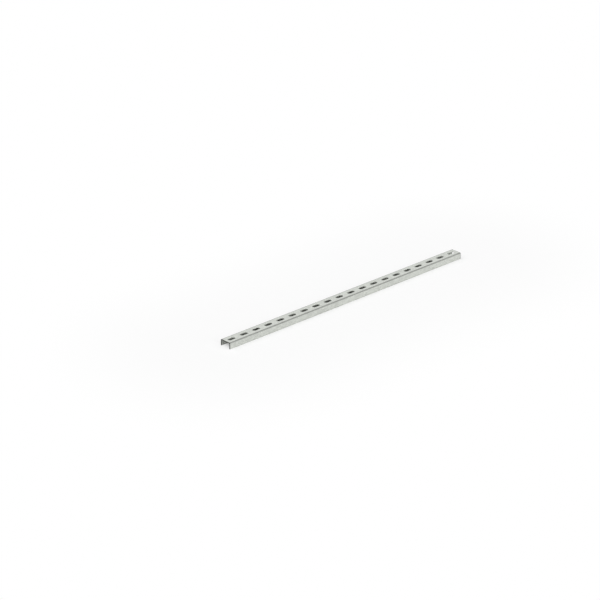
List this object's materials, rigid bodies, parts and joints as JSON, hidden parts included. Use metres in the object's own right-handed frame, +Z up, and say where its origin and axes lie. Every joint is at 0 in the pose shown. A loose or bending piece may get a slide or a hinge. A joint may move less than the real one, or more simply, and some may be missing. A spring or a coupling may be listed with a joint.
{
  "type": "perforated strut channel",
  "caption": "Plain U-section steel strut channel, cut to length, with a row of obround slots along its web for bolting brackets, pipes or cable supports.",
  "frame": {"origin": "midway along and across the channel, level with the two flange edges that it lies on", "axes": "+X along the channel, +Y across it, +Z up from the flange edges to the slotted web"},
  "size_m": [1, 0.041, 0.021],
  "materials": {
    "galvanised_steel": "galvanised zinc grey, satin"
  },
  "bodies": {
    "root": {"channel": "galvanised_steel"}
  },
  "joints": []
}
